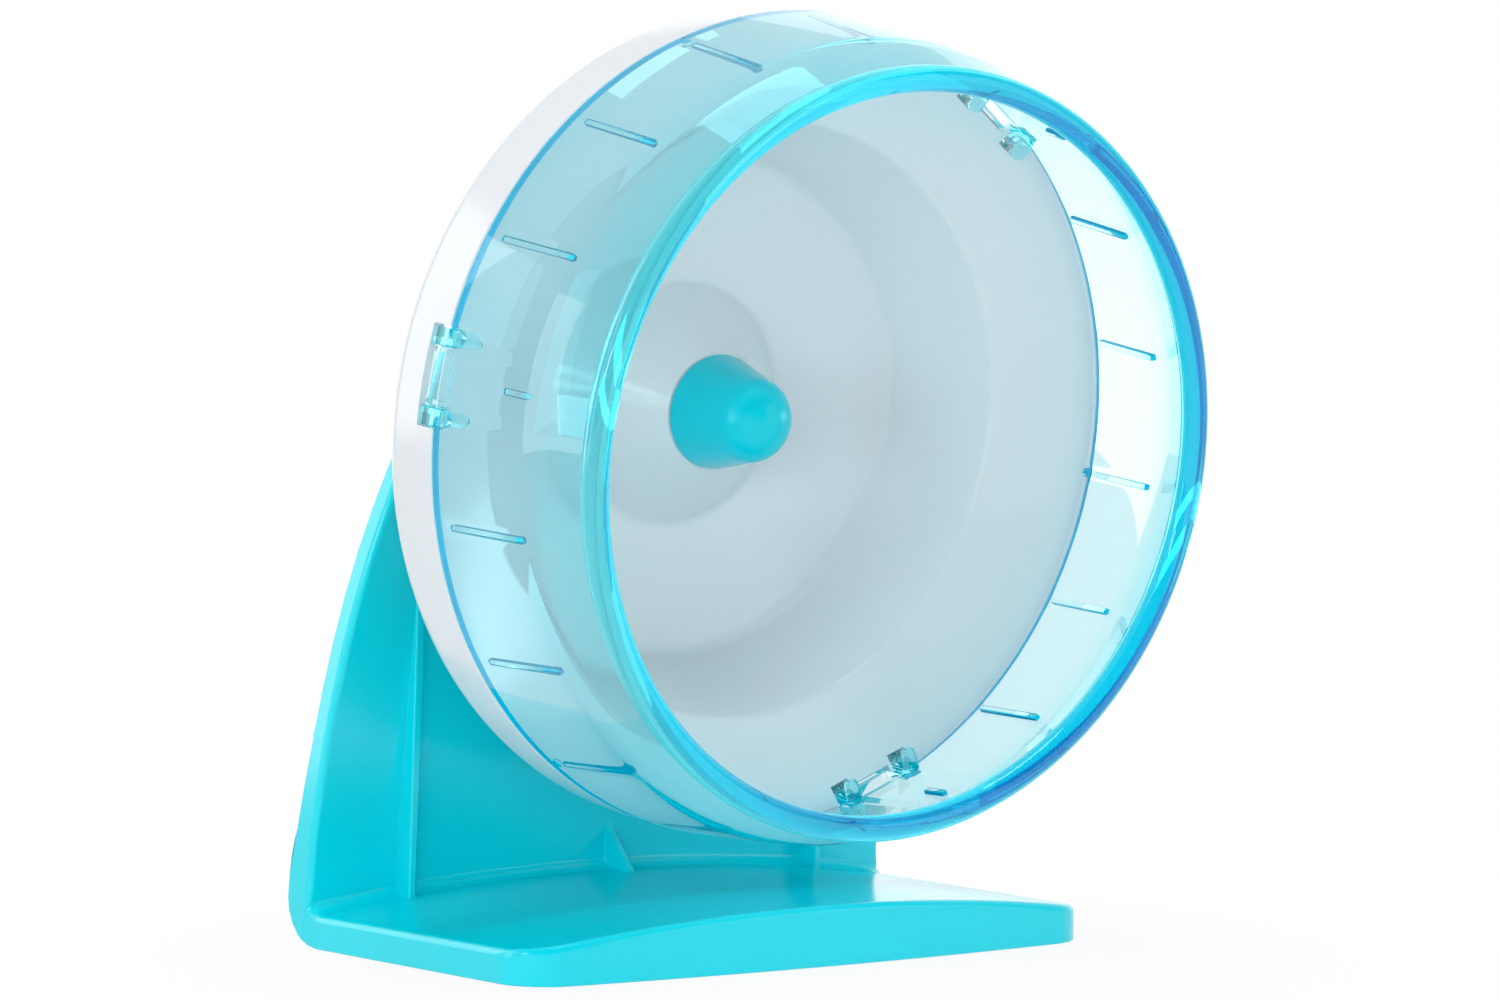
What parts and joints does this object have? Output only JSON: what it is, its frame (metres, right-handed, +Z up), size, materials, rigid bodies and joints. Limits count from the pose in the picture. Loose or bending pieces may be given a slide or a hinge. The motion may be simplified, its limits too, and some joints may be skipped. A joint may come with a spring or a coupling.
{
  "type": "hamster wheel",
  "caption": "Hamster wheel: clear drum with a rolled rim on a dished white disc, turning on a ball bearing on a leaning upright that is one moulding with its flat base",
  "frame": {"origin": "middle of the bounding box, on the flat surface the base stands on", "axes": "+Z up, the open side of the wheel faces -Y, +X to the right seen from the front; the axle lies in the YZ plane and dips 7 degrees to the front"},
  "size_m": [0.141, 0.1018, 0.1598],
  "materials": {
    "turquoise_plastic": "glossy injection-moulded turquoise plastic",
    "white_plastic": "glossy injection-moulded white plastic",
    "clear_blue_plastic": "clear light-blue plastic, polished",
    "steel": "ground bearing steel",
    "zinc_plated_steel": "zinc-plated steel",
    "nylon": "natural nylon"
  },
  "bodies": {
    "stand": {"stand": "turquoise_plastic", "axle_bolt": "zinc_plated_steel", "rear_washer": "zinc_plated_steel", "spacer_bush": "nylon", "bearing_inner_race": "steel", "front_washer": "zinc_plated_steel", "lock_nut": "zinc_plated_steel"},
    "wheel": {"back_disc": "white_plastic", "running_drum": "clear_blue_plastic", "bearing_outer_race": "steel", "front_shield": "steel", "rear_shield": "steel", "bearing_clip": "zinc_plated_steel"},
    "ball_cage": {"bearing_cage": "nylon", "bearing_ball_1": "steel", "bearing_ball_2": "steel", "bearing_ball_3": "steel", "bearing_ball_4": "steel", "bearing_ball_5": "steel", "bearing_ball_6": "steel", "bearing_ball_7": "steel"},
    "cap": {"hub_cap": "turquoise_plastic"}
  },
  "joints": [
    {"name": "wheel_spin", "type": "hinge", "parent": "stand", "child": "wheel", "pos_m": [0, -0.00764, 0.08908], "axis": [0, -0.9925, -0.1219], "continuous": true},
    {"name": "cage_spin", "type": "hinge", "parent": "stand", "child": "ball_cage", "pos_m": [0, -0.00764, 0.08908], "axis": [0, -0.9925, -0.1219], "continuous": true},
    {"name": "cap_pull", "type": "slide", "parent": "wheel", "child": "cap", "axis": [0, -0.9925, -0.1219], "range_m": [0, 0.012]}
  ],
  "couplings": [
    {"joint": "cage_spin", "follows": "wheel_spin", "ratio": 0.631}
  ]
}
